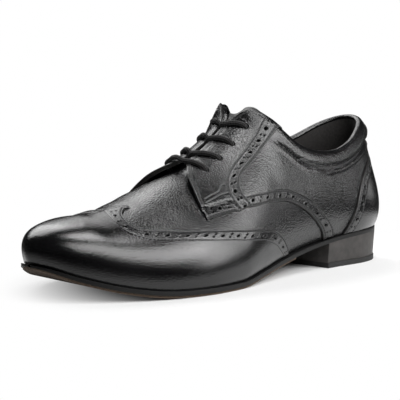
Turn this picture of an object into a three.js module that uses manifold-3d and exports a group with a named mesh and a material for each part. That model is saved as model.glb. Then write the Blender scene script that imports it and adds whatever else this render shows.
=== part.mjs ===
import * as THREE from "three";
import { mergeVertices } from "three/addons/utils/BufferGeometryUtils.js";
import Module from "manifold-3d";

// A left ballroom dance shoe: a black leather derby with a winged toe cap, padded collar,
// thin suede sole and low heel. Millimetres, +Z up. The sections are laid out with x from
// the back of the heel to the toe and y to the outer side of the foot. The finished shoe is
// turned half round, so that its toe points along -X and its outer side is -Y.

// Driving sizes of the last
const lastLength = 276;
const ballWidth = 92;
const seatHeight = 17.5;
const toeSpringHeight = 15.5;
const backHeight = 66.5;
const instepHeight = 80;
const toeBoxHeight = 36;

// Leathers
const wallThickness = 2.2;
const coverThickness = 1.2;
const layerGap = 0.5;
const topLayerGap = 0.8;
const paddingThickness = 1.3;
const flapHeight = 2.6;
const throatHalfWidth = 6;
const facingHalfGap = 3;
const eyeletRadius = 2.2;
const eyeletSides = 6;
const tongueThickness = 2;
const tongueClearance = 1.5;

// Sole and heel
const seatGap = 0.3;
const suedeThickness = 1.2;
const outsoleThickness = 2;
const soleEdge = 1.6;
const suedeInset = 0.4;
const heelLength = 66;
const heelInset = 0.8;
const topPieceThickness = 3;
const topPieceEdge = 0.5;
const insoleThickness = 2;
const insoleClearance = 0.6;

// Laces
const laceDiameter = 3.2;
const laceClearance = 0.45;
const laceSides = 6;

// The last in 15 cross sections from the back of the heel to the toe tip, as shares. First
// each section's foot on the sole line: x of lastLength; outer, inner and bulge of ballWidth;
// seat of seatHeight; spring, and innerSpring on the inner side, of toeSpringHeight; shoulder
// of the section's own height.
const footColumns = ["x", "outer", "inner", "seat", "spring", "innerSpring", "bulge", "shoulder"];
const footTable = [
  [0.018, 0.000, 0.000, 1.000, 0.000, 0.000, 0.120, 0.27],
  [0.029, 0.141, 0.141, 0.990, 0.000, 0.000, 0.114, 0.28],
  [0.065, 0.255, 0.255, 0.970, 0.000, 0.000, 0.098, 0.27],
  [0.127, 0.315, 0.304, 0.935, 0.000, 0.000, 0.087, 0.30],
  [0.225, 0.321, 0.293, 0.830, 0.000, 0.000, 0.087, 0.31],
  [0.326, 0.331, 0.266, 0.635, 0.000, 0.000, 0.098, 0.31],
  [0.428, 0.375, 0.272, 0.395, 0.000, 0.000, 0.109, 0.24],
  [0.514, 0.435, 0.326, 0.180, 0.000, 0.000, 0.120, 0.28],
  [0.601, 0.494, 0.408, 0.000, 0.000, 0.000, 0.098, 0.32],
  [0.696, 0.516, 0.478, 0.000, 0.000, 0.020, 0.065, 0.38],
  [0.797, 0.467, 0.484, 0.000, 0.050, 0.140, 0.043, 0.47],
  [0.880, 0.359, 0.408, 0.000, 0.265, 0.400, 0.043, 0.55],
  [0.949, 0.212, 0.261, 0.000, 0.620, 0.790, 0.054, 0.62],
  [0.986, 0.087, 0.130, 0.000, 0.900, 0.960, 0.065, 0.70],
  [1.000, -0.033, 0.033, 0.000, 1.000, 1.000, 0.065, 0.72],
];

// Then each section's top on the collar or the ridge: topX of lastLength; topOuter, topInner
// and crown of ballWidth; back of backHeight; instep and innerUp of instepHeight; toe of
// toeBoxHeight; drop of the section's own height.
const topColumns = ["topX", "topOuter", "topInner", "back", "instep", "toe", "innerUp", "crown", "drop"];
const topTable = [
  [0.038, 0.000, 0.000, 1.000, 0.000, 0.000, 0.000, 0.011, 0.42],
  [0.051, 0.109, 0.109, 0.980, 0.000, 0.000, 0.000, 0.016, 0.42],
  [0.089, 0.196, 0.196, 0.918, 0.000, 0.000, 0.000, 0.022, 0.39],
  [0.152, 0.261, 0.261, 0.808, 0.000, 0.000, 0.005, 0.038, 0.37],
  [0.232, 0.288, 0.288, 0.767, 0.000, 0.000, 0.006, 0.054, 0.39],
  [0.326, 0.266, 0.261, 0.450, 0.360, 0.000, 0.019, 0.087, 0.31],
  [0.431, 0.141, 0.136, 0.000, 1.045, 0.000, 0.035, 0.152, 0.17],
  [0.489, 0.011, -0.011, 0.000, 0.971, 0.000, 0.000, 0.239, 0.00],
  [0.590, 0.011, -0.011, 0.000, 0.771, 0.000, 0.000, 0.272, 0.00],
  [0.688, 0.011, -0.011, 0.000, 0.450, 0.458, 0.000, 0.293, 0.00],
  [0.786, 0.011, -0.011, 0.000, 0.150, 0.839, 0.000, 0.283, 0.00],
  [0.851, 0.000, 0.000, 0.000, 0.000, 0.967, 0.000, 0.261, 0.00],
  [0.886, -0.016, 0.016, 0.000, 0.000, 0.803, 0.000, 0.239, 0.00],
  [0.900, -0.027, 0.027, 0.000, 0.000, 0.669, 0.000, 0.217, 0.00],
  [0.906, -0.033, 0.033, 0.000, 0.000, 0.619, 0.000, 0.207, 0.00],
];
const namedRow = (columns, row) => columns.map((name, column) => [name, row[column]]);
const sections = footTable.map((row, i) =>
  Object.fromEntries([...namedRow(footColumns, row), ...namedRow(topColumns, topTable[i])]));

// Stations count the sections round the shoe: 0 at the heel, up the outer side to the toe,
// and back down the inner side. From ridgeStation on, both sides meet in one ridge.
const toeStation = sections.length - 1;
const lap = 2 * toeStation;
const ridgeStation = 8;
const toeRidgeSlope = -0.15;
const ridgeTiltStations = [6.2, 7.0];
const toeSlopeStations = [11, 12.5];
const footLineLevel = 0.12;
const soleStack = suedeThickness + outsoleThickness + 2 * seatGap;

// One rib of the last at each station: its foot on the sole line, its top on the collar or
// the ridge, and the four lengths that bow it outwards between them.
function ribOf(section, side) {
  const footZ = soleStack + seatHeight * section.seat + toeSpringHeight * section.spring;
  const height = backHeight * section.back + instepHeight * section.instep + toeBoxHeight * section.toe;
  const footY = side > 0 ? section.outer : -section.inner;
  const topY = side > 0 ? section.topOuter : -section.topInner;
  const innerUp = side > 0 ? 0 : section.innerUp * instepHeight;
  const twist = side > 0 ? 0 : (section.innerSpring - section.spring) * toeSpringHeight;
  return [
    section.x * lastLength, footY * ballWidth, footZ + twist,
    section.topX * lastLength, topY * ballWidth, footZ + height + innerUp,
    section.bulge * ballWidth, section.shoulder * height,
    section.crown * ballWidth, section.drop * height,
  ];
}
const ribs = Array.from({ length: lap }, (_, station) =>
  station <= toeStation ? ribOf(sections[station], 1) : ribOf(sections[lap - station], -1));

const folded = (station) => {
  const turned = ((station % lap) + lap) % lap;
  return Math.min(turned, lap - turned);
};

// A rib between the named sections, on a spline that closes round the shoe
function ribAt(station) {
  const index = Math.floor(station);
  const t = station - index;
  const [p, q, r, s] = [-1, 0, 1, 2].map((step) => ribs[(index + step + 2 * lap) % lap]);
  const value = q.map((_, k) => 0.5 * (2 * q[k] + (r[k] - p[k]) * t
    + (2 * p[k] - 5 * q[k] + 4 * r[k] - s[k]) * t * t
    + (3 * q[k] - 3 * r[k] + s[k] - p[k]) * t * t * t));
  const slope = q.map((_, k) => 0.5 * ((r[k] - p[k])
    + 2 * (2 * p[k] - 5 * q[k] + 4 * r[k] - s[k]) * t
    + 3 * (3 * q[k] - 3 * r[k] + s[k] - p[k]) * t * t));
  return { value, slope };
}

const ramp = (value, from, to) => THREE.MathUtils.smoothstep(value, from, to);

function footNormal(slope) {
  return new THREE.Vector3(-slope[1], slope[0], 0).normalize();
}

function ridgeSlope(station, slope) {
  const place = folded(station);
  const closing = THREE.MathUtils.clamp(THREE.MathUtils.inverseLerp(...ridgeTiltStations, place), 0, 1);
  const run = Math.abs(slope[3]) < 1e-6 ? toeRidgeSlope : slope[5] / slope[3];
  return THREE.MathUtils.lerp(run, toeRidgeSlope, ramp(place, ...toeSlopeStations)) * closing;
}

// The face of the last: level 0 is the sole line and level 1 the collar or the ridge
function face(station, level) {
  const { value, slope } = ribAt(station);
  const [footX, footY, footZ, topX, topY, topZ, bulge, shoulder, crown, drop] = value;
  const out = footNormal(slope);
  const tilt = ridgeSlope(station, slope);
  const foot = new THREE.Vector3(footX, footY, Math.max(footZ, soleStack));
  const top = new THREE.Vector3(topX, topY, topZ);
  const low = foot.clone().addScaledVector(out, bulge);
  low.z += shoulder;
  const high = top.clone().addScaledVector(out, crown);
  high.z += tilt * crown * out.x - drop;
  return new THREE.CubicBezierCurve3(foot, low, high, top).getPoint(level);
}

function faceNormal(station, level) {
  const { slope } = ribAt(station);
  if (level >= 1 && folded(station) >= ridgeStation) {
    return new THREE.Vector3(-ridgeSlope(station, slope), 0, 1).normalize();
  }
  const step = 1e-3;
  const along = face(station + step, level).sub(face(station - step, level));
  const up = face(station, Math.min(1, level + step)).sub(face(station, Math.max(0, level - step)));
  const normal = up.cross(along).normalize();
  const flatness = THREE.MathUtils.clamp(level / footLineLevel, 0, 1);
  return footNormal(slope).lerp(normal, flatness).normalize();
}

// A point at a distance above the face, or below it where the distance is negative
function above(station, level, distance) {
  return face(station, level).addScaledVector(faceNormal(station, level), distance);
}

// A value read from a short table of [place, value] rows, straight between them
function readTable(table, place) {
  if (place <= table[0][0]) return table[0][1];
  for (let row = 1; row < table.length; row += 1) {
    const [fromPlace, fromValue] = table[row - 1];
    const [toPlace, toValue] = table[row];
    if (place <= toPlace) {
      return THREE.MathUtils.lerp(fromValue, toValue, (place - fromPlace) / (toPlace - fromPlace));
    }
  }
  return table[table.length - 1][1];
}

// Distances of the leathers from the face of the last
const shellFace = -coverThickness - layerGap;
const shellBack = shellFace - wallThickness;
const coverFace = 0;
const coverBack = -coverThickness;
const topCoverFace = topLayerGap + coverThickness;
const topCoverBack = topLayerGap;

// The seam under the padded collar, as [station, level]
const collarSeam = [
  [0, 0.860], [1.5, 0.850], [2.5, 0.838], [3.3, 0.831],
  [4.0, 0.825], [4.7, 0.812], [5.3, 0.763], [5.9, 0.760],
];
const paddingEndStations = [5.0, 5.5];

// How far the flaps at the throat stand off the face
const flapStations = [7.3, 8.2];
const flapLevels = [0.58, 0.86];

function flapRise(station, level) {
  return flapHeight * ramp(folded(station), ...flapStations) * ramp(level, ...flapLevels);
}

// How far the quarters' outer face stands off: the flaps, and the collar's padding
function rise(station, level) {
  const place = folded(station);
  const seam = readTable(collarSeam, place);
  const padded = level > seam ? Math.sin(Math.PI * (level - seam) / (1 - seam)) : 0;
  return flapRise(station, level) + paddingThickness * padded * (1 - ramp(place, ...paddingEndStations));
}

// A sheet of leather: each corner has a point on its face and one on its back
class Sheet {
  constructor() {
    this.keys = new Map();
    this.faces = [];
    this.backs = [];
    this.triangles = [];
  }

  corner(key, facePoint, backPoint) {
    if (!this.keys.has(key)) {
      this.keys.set(key, this.faces.length);
      this.faces.push(facePoint());
      this.backs.push(backPoint());
    }
    return this.keys.get(key);
  }

  quad(a, b, c, d) {
    for (const [i, j, k] of [[a, d, c], [a, c, b]]) {
      if (i !== j && j !== k && k !== i) this.triangles.push([i, j, k]);
    }
  }

  // Lays quads between neighbouring columns of corners
  weave(columns) {
    for (let i = 1; i < columns.length; i += 1) {
      for (let j = 1; j < columns[i].length; j += 1) {
        this.quad(columns[i - 1][j - 1], columns[i][j - 1], columns[i][j], columns[i - 1][j]);
      }
    }
  }

  solid() {
    const count = this.faces.length;
    const edges = new Set(this.triangles.flatMap(([i, j, k]) => [`${i} ${j}`, `${j} ${k}`, `${k} ${i}`]));
    const index = [];
    for (const [i, j, k] of this.triangles) {
      index.push(i, j, k, i + count, k + count, j + count);
    }
    for (const edge of edges) {
      const [i, j] = edge.split(" ").map(Number);
      if (!edges.has(`${j} ${i}`)) index.push(j, i, i + count, j, i + count, j + count);
    }
    const geometry = new THREE.BufferGeometry().setFromPoints([...this.faces, ...this.backs]);
    return geometry.setIndex(index);
  }
}

// A corner of a sheet on the last. On the ridge, both sides share their corners.
function lastCorner(sheet, station, level, faceDistance, backDistance) {
  const onRidge = level >= 1 && folded(station) >= ridgeStation;
  const place = onRidge ? folded(station) : station;
  const key = `${onRidge} ${place.toFixed(4)} ${level.toFixed(4)}`;
  return sheet.corner(key,
    () => above(place, level, faceDistance(place, level)),
    () => above(place, level, backDistance(place, level)));
}

const spread = (count, from, to) =>
  Array.from({ length: count + 1 }, (_, i) => THREE.MathUtils.lerp(from, to, i / count));
const seatStations = [0, 0.33, 0.67, 1, 1.33, 1.67, 2, 2.4, 2.8, 3.3, 3.8];
const toeStations = [10.5, 11, 11.5, 12, 12.4, 12.8, 13.15, 13.45, 13.7, toeStation];
const lastStations = [
  ...seatStations, 4.2, 4.6, 5, 5.35, 5.7, 6, 6.3, 6.6, 6.85, 7.1, 7.4, 7.7,
  8, 8.5, 9, 9.5, 10, ...toeStations,
];
const lowerLevels = spread(5, 0, 0.6);
const upperLevels = spread(4, 0.6, 1);
const ribLevels = [...lowerLevels, ...upperLevels.slice(1)];
const mirrored = (stations) => [...stations, ...stations.slice(0, -1).reverse().map((s) => lap - s)];

// Booleans
const wasm = await Module();
wasm.setup();

function toManifold(geometry) {
  const bare = geometry.clone();
  bare.deleteAttribute("normal");
  bare.deleteAttribute("uv");
  const merged = mergeVertices(bare, 1e-4);
  return new wasm.Manifold(new wasm.Mesh({
    numProp: 3,
    vertProperties: new Float32Array(merged.attributes.position.array),
    triVerts: new Uint32Array(merged.index.array),
  }));
}

function fromManifold(solid) {
  const mesh = solid.getMesh();
  const geometry = new THREE.BufferGeometry();
  geometry.setAttribute("position", new THREE.BufferAttribute(mesh.vertProperties, 3));
  return geometry.setIndex(new THREE.BufferAttribute(mesh.triVerts, 1));
}

// Upper: one hollow shell, open at the collar, down the throat and underneath
const slitStations = [6.5, 7.1];

// The level at which a rib is a given distance short of the ridge
function levelShortOfRidge(station, distance) {
  const crown = ribAt(station).value[8];
  return 1 - distance / (3 * crown);
}

function shellTop(station) {
  const place = folded(station);
  if (place >= ridgeStation) return 1;
  const opening = levelShortOfRidge(station, throatHalfWidth);
  return THREE.MathUtils.lerp(1, opening, ramp(place, ...slitStations));
}

function buildUpper() {
  const sheet = new Sheet();
  const around = mirrored(lastStations).slice(0, -1);
  const columns = around.map((station) => ribLevels.map((level) =>
    lastCorner(sheet, station, level * shellTop(station), () => shellFace, () => shellBack)));
  sheet.weave([...columns, columns[0]]);
  return sheet.solid();
}

// Wing cap: laid over the toe, with a peak on the ridge and a wing back along each side
const wingTopLevel = 0.6;
const wingEdge = [
  [5.72, 0], [5.95, 0.100], [6.23, 0.181], [6.6, 0.231], [7.1, 0.262], [7.6, 0.319], [8.05, 0.372],
  [8.62, 0.413], [9.08, 0.450], [9.47, 0.494], [9.73, 0.537], [10.03, 0.580], [10.23, wingTopLevel],
];
const wingPeak = [[0, 0], [0.15, 0.10], [0.35, 0.10], [0.55, -0.02], [0.8, -0.11], [1, -0.11]];
const wingPeakStation = 10.23;
const wingPeakEnd = 12.4;
const wingStations = [
  5.72, 5.95, 6.23, 6.6, 7.1, 7.6, 8.05, 8.5, 9, 9.5, 9.85, wingPeakStation, ...toeStations,
];

function buildWingCap() {
  const sheet = new Sheet();
  const lay = (station, level) => lastCorner(sheet, station, level, () => coverFace, () => coverBack);
  const around = mirrored(wingStations);
  sheet.weave(around.map((station) =>
    lowerLevels.map((level) => lay(station, level * readTable(wingEdge, folded(station)) / wingTopLevel))));
  const cap = around.filter((station) => folded(station) >= wingPeakStation);
  sheet.weave(cap.map((station) => upperLevels.map((level) => {
    const fade = 1 - ramp(folded(station), wingPeakStation, wingPeakEnd);
    const up = (level - wingTopLevel) / (1 - wingTopLevel);
    const shift = readTable(wingPeak, up) * fade * (station > toeStation ? -1 : 1);
    return lay(station + shift, level);
  })));
  return sheet.solid();
}

// Quarters: from the back seam to the flap's front edge, over the vamp
const quarterLow = [
  [4.45, 0], [4.6, 0.119], [4.88, 0.250], [5.2, 0.344], [5.53, 0.381], [5.88, 0.392],
  [6.6, 0.388], [7.25, 0.406], [7.75, 0.460], [8.1, 0.492], [8.45, 0.506], [8.8, 0.506],
];
const flapFront = [
  [8.05, 0.965], [8.2, 0.942], [8.35, 0.906], [8.6, 0.812], [8.7, 0.731], [8.78, 0.644], [8.8, 0.58],
];
const quarterStations = [
  ...seatStations, 4.2, 4.45, 4.6, 4.8, 5, 5.35, 5.7, 6, 6.3, 6.6, 6.85, 7.1, 7.4, 7.7,
  8, 8.2, 8.35, 8.5, 8.6, 8.7, 8.78,
];
const backSeamGap = 0.35;

function quarterTop(station) {
  const place = folded(station);
  if (place <= slitStations[0]) return 1;
  if (place >= flapFront[0][0]) return readTable(flapFront, place);
  const edge = levelShortOfRidge(station, facingHalfGap);
  return THREE.MathUtils.lerp(1, edge, ramp(place, ...slitStations));
}

const sideStation = (station, side) => (side > 0 ? station : lap - station);
const inSideOrder = (items, side) => (side > 0 ? items : [...items].reverse());

function buildQuarter(side) {
  const sheet = new Sheet();
  const seam = backSeamGap / (ballWidth * sections[1].outer);
  const stations = quarterStations.map((station) => Math.max(station, seam));
  const columns = stations.map((place) => {
    const low = readTable(quarterLow, place);
    const high = quarterTop(place);
    return ribLevels.map((share) => {
      const level = THREE.MathUtils.lerp(low, high, share);
      return lastCorner(sheet, sideStation(place, side), level, rise, (s, l) => coverBack + flapRise(s, l));
    });
  });
  sheet.weave(inSideOrder(columns, side));
  return sheet.solid();
}

// A corner of a piece that is laid over the quarters
function onQuarter(sheet, station, level) {
  return lastCorner(sheet, station, level,
    (s, l) => topCoverFace + rise(s, l), (s, l) => topCoverBack + rise(s, l));
}

// Facings: laid on the quarters, between the line of the lacing and a curved rear edge
const facingRear = [
  [5.53, 1], [5.95, 0.781], [6.6, 0.669], [7.12, 0.631],
  [7.43, 0.631], [7.62, 0.600], [7.70, 0.550], [7.66, 0.505],
];
const facingFront = [
  [6.30, 1], [6.85, 0.980], [7.15, 0.958], [7.6, 0.958],
  [8.0, 0.962], [8.35, 0.895], [8.6, 0.795], [8.74, 0.640],
];
const facingRows = 14;
const facingRowCrowding = 1.25;
const facingColumns = 5;

function buildFacing(side) {
  const sheet = new Sheet();
  const path = (table) => new THREE.SplineCurve(table.map((spot) => new THREE.Vector2(...spot)));
  const rear = path(facingRear);
  const front = path(facingFront);
  const rows = spread(facingRows, 1, 0).map((share) => share ** facingRowCrowding);
  const columns = spread(facingColumns, 0, 1).map((across) => rows.map((down) => {
    const spot = rear.getPoint(down).lerp(front.getPoint(down), across);
    return onQuarter(sheet, sideStation(spot.x, side), Math.min(spot.y, 1));
  }));
  sheet.weave(inSideOrder(columns, side));
  return sheet.solid();
}

// Counter: round the back of the heel, narrowing to a strip up to the collar
const counterEdge = [
  [0, 1], [1.33, 1], [1.4, 0.745], [2, 0.690], [2.6, 0.650], [3.1, 0.544], [3.33, 0.419],
  [3.45, 0.312], [3.65, 0.163], [3.8, 0],
];
const counterStations = [...seatStations.slice(0, 5), 1.4, 1.67, 2, 2.4, 2.8, 3.1, 3.33, 3.65, 3.8];

function buildCounter() {
  const sheet = new Sheet();
  const around = [...counterStations.slice(1).reverse().map((s) => lap - s), ...counterStations];
  sheet.weave(around.map((station) => ribLevels.map((share) => {
    const level = share * readTable(counterEdge, folded(station));
    return onQuarter(sheet, station, level);
  })));
  return sheet.solid();
}

// Tongue: under the facings, arched over the instep and standing above the collar
const tongueTable = [
  // station, level of its side edge, level where its arch springs
  [8.6, 0.80, 0.93],
  [8.0, 0.76, 0.92],
  [7.4, 0.74, 0.90],
  [6.9, 0.74, 0.90],
  [6.5, 0.76, 0.91],
  [6.1, 0.80, 0.94],
  [5.75, 0.87, 0.97],
  [5.45, 0.94, 1.00],
];
const tongueTopStation = tongueTable[tongueTable.length - 1][0];
const tongueLength = 61;
const tongueCrestHeight = 1.5;
const archHandle = 0.4;
const tongueSideSteps = 3;
const tongueArchSteps = 5;
const tongueFace = shellBack - tongueClearance;

function buildTongue() {
  const sheet = new Sheet();
  const ridgeFoot = face(ridgeStation, 1);
  const instepLine = face(ridgeStation - 1, 1).sub(ridgeFoot);
  instepLine.y = 0;
  instepLine.normalize();
  const lift = new THREE.Vector3(-instepLine.z, 0, instepLine.x).negate();
  const columns = tongueTable.map(([station, edge, spring], row) => {
    const along = row / (tongueTable.length - 1);
    const up = (ridgeStation - station) / (ridgeStation - tongueTopStation);
    const span = (depth) => {
      const crown = station >= ridgeStation
        ? above(station, 1, depth)
        : ridgeFoot.clone()
          .addScaledVector(instepLine, tongueLength * up)
          .addScaledVector(lift, depth + tongueCrestHeight * ramp(along, 0.4, 1));
      const points = [];
      for (const side of [1, -1]) {
        const here = sideStation(station, side);
        const foot = above(here, spring, depth);
        const before = above(here, spring - 0.02, depth);
        const reach = foot.distanceTo(crown) * archHandle;
        const handle = foot.clone().addScaledVector(foot.clone().sub(before).normalize(), reach);
        const crest = crown.clone().add(new THREE.Vector3(0, side * reach, 0));
        const arch = new THREE.CubicBezierCurve3(foot, handle, crest, crown).getPoints(tongueArchSteps);
        const flank = spread(tongueSideSteps, edge, spring).map((level) => above(here, level, depth));
        const half = [...flank, ...arch.slice(1)];
        points.push(...(side > 0 ? half : half.slice(0, -1).reverse()));
      }
      return points;
    };
    const faces = span(tongueFace);
    const backs = span(tongueFace - tongueThickness);
    return faces.map((point, i) => sheet.corner(`${row} ${i}`, () => point, () => backs[i]));
  });
  sheet.weave([...columns].reverse());
  return sheet.solid();
}

// A flat layer of the sole between two heights, following the sole line with an edge
function buildLayer(stations, topEdge, bottomEdge, topZ, bottomZ) {
  const sheet = new Sheet();
  const outline = (station, edge, z) => {
    const { value, slope } = ribAt(station);
    const point = new THREE.Vector3(value[0], value[1], 0).addScaledVector(footNormal(slope), edge);
    return point.setZ(z(station));
  };
  sheet.weave(stations.map((station) => [1, -1].map((side) => {
    const closed = station === 0 || station === toeStation;
    const here = closed ? station : sideStation(station, side);
    return sheet.corner(`${here}`,
      () => outline(here, topEdge, topZ),
      () => outline(here, bottomEdge, bottomZ));
  })));
  return sheet.solid();
}

const soleLineZ = (station) => Math.max(ribAt(station).value[2], soleStack);
const outsoleTopZ = (station) => soleLineZ(station) - seatGap;
const outsoleBottomZ = (station) => outsoleTopZ(station) - outsoleThickness;
const suedeTopZ = (station) => outsoleBottomZ(station) - seatGap;
const suedeBottomZ = (station) => suedeTopZ(station) - suedeThickness;
const insoleBottomZ = (station) => soleLineZ(station);
const insoleTopZ = (station) => insoleBottomZ(station) + insoleThickness;

function stationAtX(x) {
  let low = 0;
  let high = toeStation;
  for (let pass = 0; pass < 40; pass += 1) {
    const middle = (low + high) / 2;
    if (ribAt(middle).value[0] < x) low = middle;
    else high = middle;
  }
  return high;
}
const breastStation = stationAtX(sections[0].x * lastLength + heelLength);
const suedeStartStation = 5.5;
const heelStations = [...lastStations.filter((station) => station < breastStation - 0.1), breastStation];
const suedeStations = lastStations.filter((station) => station > suedeStartStation);

const heelEdge = (share) => soleEdge - heelInset * share;
const insoleEdge = shellBack - insoleClearance;

// Laces: each crossing or bar is one joined solid that lies on the facings
const eyelets = [
  // station and level of each pair, from the collar down
  [6.68, 0.844],
  [7.30, 0.800],
  [7.70, 0.800],
  [8.10, 0.806],
];

function laceArm(points) {
  const section = new THREE.Shape(spread(laceSides, 0, 2 * Math.PI).slice(0, -1).map((angle) =>
    new THREE.Vector2(Math.cos(angle), Math.sin(angle)).multiplyScalar(laceDiameter / 2)));
  const path = new THREE.CatmullRomCurve3(points);
  const settings = { steps: 6, bevelEnabled: false, extrudePath: path };
  return toManifold(new THREE.ExtrudeGeometry(section, settings));
}

const laceHeight = topCoverFace + laceClearance + laceDiameter / 2;
const onFacing = (station, level, side) => {
  const here = sideStation(station, side);
  return above(here, level, laceHeight + rise(here, level));
};

function facingEdgeLevel(station) {
  return quarterTop(station) - 0.01;
}

function buildLaceBar() {
  const [station, level] = eyelets[3];
  const edge = facingEdgeLevel(station);
  const half = (side) => [level, (level + edge) / 2, edge].map((l) => onFacing(station, l, side));
  return fromManifold(laceArm([...half(1), ...half(-1).reverse()]));
}

function buildLaceCross(pair) {
  const [station, level] = eyelets[pair];
  const lower = eyelets[pair + 1][0];
  const middle = (station + lower) / 2;
  const edgeStation = THREE.MathUtils.lerp(station, middle, 0.75);
  const edge = facingEdgeLevel(edgeStation);
  const centre = onFacing(middle, facingEdgeLevel(middle), 1)
    .add(onFacing(middle, facingEdgeLevel(middle), -1)).multiplyScalar(0.5);
  const arm = (side) => laceArm([
    onFacing(station, level, side),
    onFacing(THREE.MathUtils.lerp(station, edgeStation, 0.5), (level + edge) / 2, side),
    onFacing(edgeStation, edge, side),
    centre.clone().add(new THREE.Vector3(0, -side * laceDiameter / 4, 0)),
  ]);
  return fromManifold(arm(1).add(arm(-1)));
}

// Eyelets: round holes punched through the facings, quarters and shell
function punch(geometry, sides) {
  const reach = 2 * (wallThickness + 2 * coverThickness + flapHeight);
  let solid = toManifold(geometry);
  for (const side of sides) {
    for (const [station, level] of eyelets) {
      const here = sideStation(station, side);
      const drill = new THREE.CylinderGeometry(eyeletRadius, eyeletRadius, reach, eyeletSides);
      const turn = new THREE.Quaternion().setFromUnitVectors(
        new THREE.Vector3(0, 1, 0), faceNormal(here, level));
      drill.applyQuaternion(turn);
      drill.translate(...above(here, level, 0).toArray());
      solid = solid.subtract(toManifold(drill));
    }
  }
  return fromManifold(solid);
}

// Finishes
const leather = (color, roughness) => new THREE.MeshStandardMaterial({ color, roughness, metalness: 0 });
const blackLeather = () => leather(0x1b1b1d, 0.35);
const tongueLeather = () => leather(0x17171a, 0.45);
const soleLeather = () => leather(0x121212, 0.5);
const insoleLeather = () => leather(0x1a1a1c, 0.7);
const suede = () => leather(0x9b8568, 0.95);
const heelStack = () => leather(0x2c2826, 0.55);
const heelRubber = () => leather(0x0f0f10, 0.8);
const laceCotton = () => leather(0x141416, 0.8);

const shoe = new THREE.Group();
function addPiece(name, geometry, material) {
  const mesh = new THREE.Mesh(geometry, material);
  mesh.name = name;
  shoe.add(mesh);
}

addPiece("upper", punch(buildUpper(), [1, -1]), blackLeather());
addPiece("outsole", buildLayer(lastStations, soleEdge, soleEdge, outsoleTopZ, outsoleBottomZ),
  soleLeather());
addPiece("suede_sole", buildLayer(suedeStations, soleEdge - suedeInset, soleEdge - suedeInset,
  suedeTopZ, suedeBottomZ), suede());
addPiece("heel_block", buildLayer(heelStations, heelEdge(0), heelEdge(1),
  (s) => outsoleBottomZ(s) - seatGap, () => topPieceThickness + seatGap), heelStack());
addPiece("heel_top_piece", buildLayer(heelStations, heelEdge(1) + topPieceEdge, heelEdge(1) + topPieceEdge,
  () => topPieceThickness, () => 0), heelRubber());
addPiece("insole", buildLayer(lastStations, insoleEdge, insoleEdge, insoleTopZ, insoleBottomZ),
  insoleLeather());
addPiece("tongue", buildTongue(), tongueLeather());
addPiece("wing_cap", buildWingCap(), blackLeather());
for (const [name, side] of [["outer", 1], ["inner", -1]]) {
  addPiece(`quarter_${name}`, punch(buildQuarter(side), [side]), blackLeather());
  addPiece(`facing_${name}`, punch(buildFacing(side), [side]), blackLeather());
}
addPiece("counter", buildCounter(), blackLeather());
addPiece("lace_bar", buildLaceBar(), laceCotton());
for (const pair of [0, 1, 2]) addPiece(`lace_cross_${pair + 1}`, buildLaceCross(pair), laceCotton());

// The shoe stands on z = 0 with the middle of its box at the origin
shoe.rotation.z = Math.PI;
const stand = new THREE.Box3().setFromObject(shoe);
const centre = stand.getCenter(new THREE.Vector3());
shoe.position.set(-centre.x, -centre.y, -stand.min.z);

export default shoe;
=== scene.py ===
import math

import bpy
import numpy as np
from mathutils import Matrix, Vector


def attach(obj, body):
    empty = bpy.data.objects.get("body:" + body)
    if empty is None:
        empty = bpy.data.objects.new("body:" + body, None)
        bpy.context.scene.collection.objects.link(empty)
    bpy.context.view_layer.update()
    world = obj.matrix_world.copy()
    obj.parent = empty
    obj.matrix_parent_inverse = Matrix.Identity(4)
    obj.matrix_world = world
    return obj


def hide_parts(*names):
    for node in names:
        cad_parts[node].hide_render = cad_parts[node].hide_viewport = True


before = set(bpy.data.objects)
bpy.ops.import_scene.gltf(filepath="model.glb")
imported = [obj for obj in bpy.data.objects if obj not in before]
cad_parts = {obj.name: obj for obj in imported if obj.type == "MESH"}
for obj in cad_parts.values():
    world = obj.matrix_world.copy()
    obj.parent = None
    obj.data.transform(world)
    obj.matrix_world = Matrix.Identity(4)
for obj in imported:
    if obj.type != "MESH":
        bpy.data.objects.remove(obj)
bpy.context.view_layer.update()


# Camera: stands before the toe on the outer side, a little above the shoe. A long lens keeps
# the shoe's proportions, and the camera is rolled by under a degree.
camera_place = Vector((-0.6717, -0.5978, 0.1378))
camera_aim = Vector((-0.00944, 0.00444, 0.0435))
camera_roll = math.radians(0.73)
bpy.ops.object.camera_add(location=camera_place)
camera = bpy.context.object
camera.name = "camera"
camera.data.lens = 141.75
camera.data.sensor_width = 36
camera.data.clip_end = 20
look = (camera_aim - camera_place).to_track_quat("-Z", "Y").to_matrix()
camera.rotation_euler = (look @ look.Rotation(camera_roll, 3, "Z")).to_euler()
bpy.context.scene.camera = camera


# Studio: a white sweep under six softboxes: broad ones high over the outer side and behind the
# inner side, small ones by the heel. For reflections the sweep's tone is painted: bright close to
# the shoe, dark further off and in front of the toe, a painted reflection of dark surroundings and
# a painted shadow. For the camera it turns to glowing white a short way out, a bright backdrop
# that also paints away the cast shadow near the toe.
white = (1, 1, 1, 1)


def new_material(name):
    """A material, with its node tree and its surface."""
    material = bpy.data.materials.new(name)
    material.use_nodes = True
    return material, material.node_tree, material.node_tree.nodes["Principled BSDF"]


def set_inputs(tree, node, inputs):
    """Gives each input its value, or links it to another node's output."""
    for key, value in inputs.items():
        if isinstance(value, bpy.types.NodeSocket):
            tree.links.new(value, node.inputs[key])
        else:
            node.inputs[key].default_value = value


def add_node(tree, kind, inputs, out=0, **settings):
    """Adds a shader node and returns one of its outputs."""
    node = tree.nodes.new(kind)
    for key, value in settings.items():
        setattr(node, key, value)
    set_inputs(tree, node, inputs)
    return node.outputs[out]


def map_range(tree, value, low, high, low_result, high_result, **settings):
    return add_node(tree, "ShaderNodeMapRange", {
        "Value": value, "From Min": low, "From Max": high,
        "To Min": low_result, "To Max": high_result}, **settings)


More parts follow.
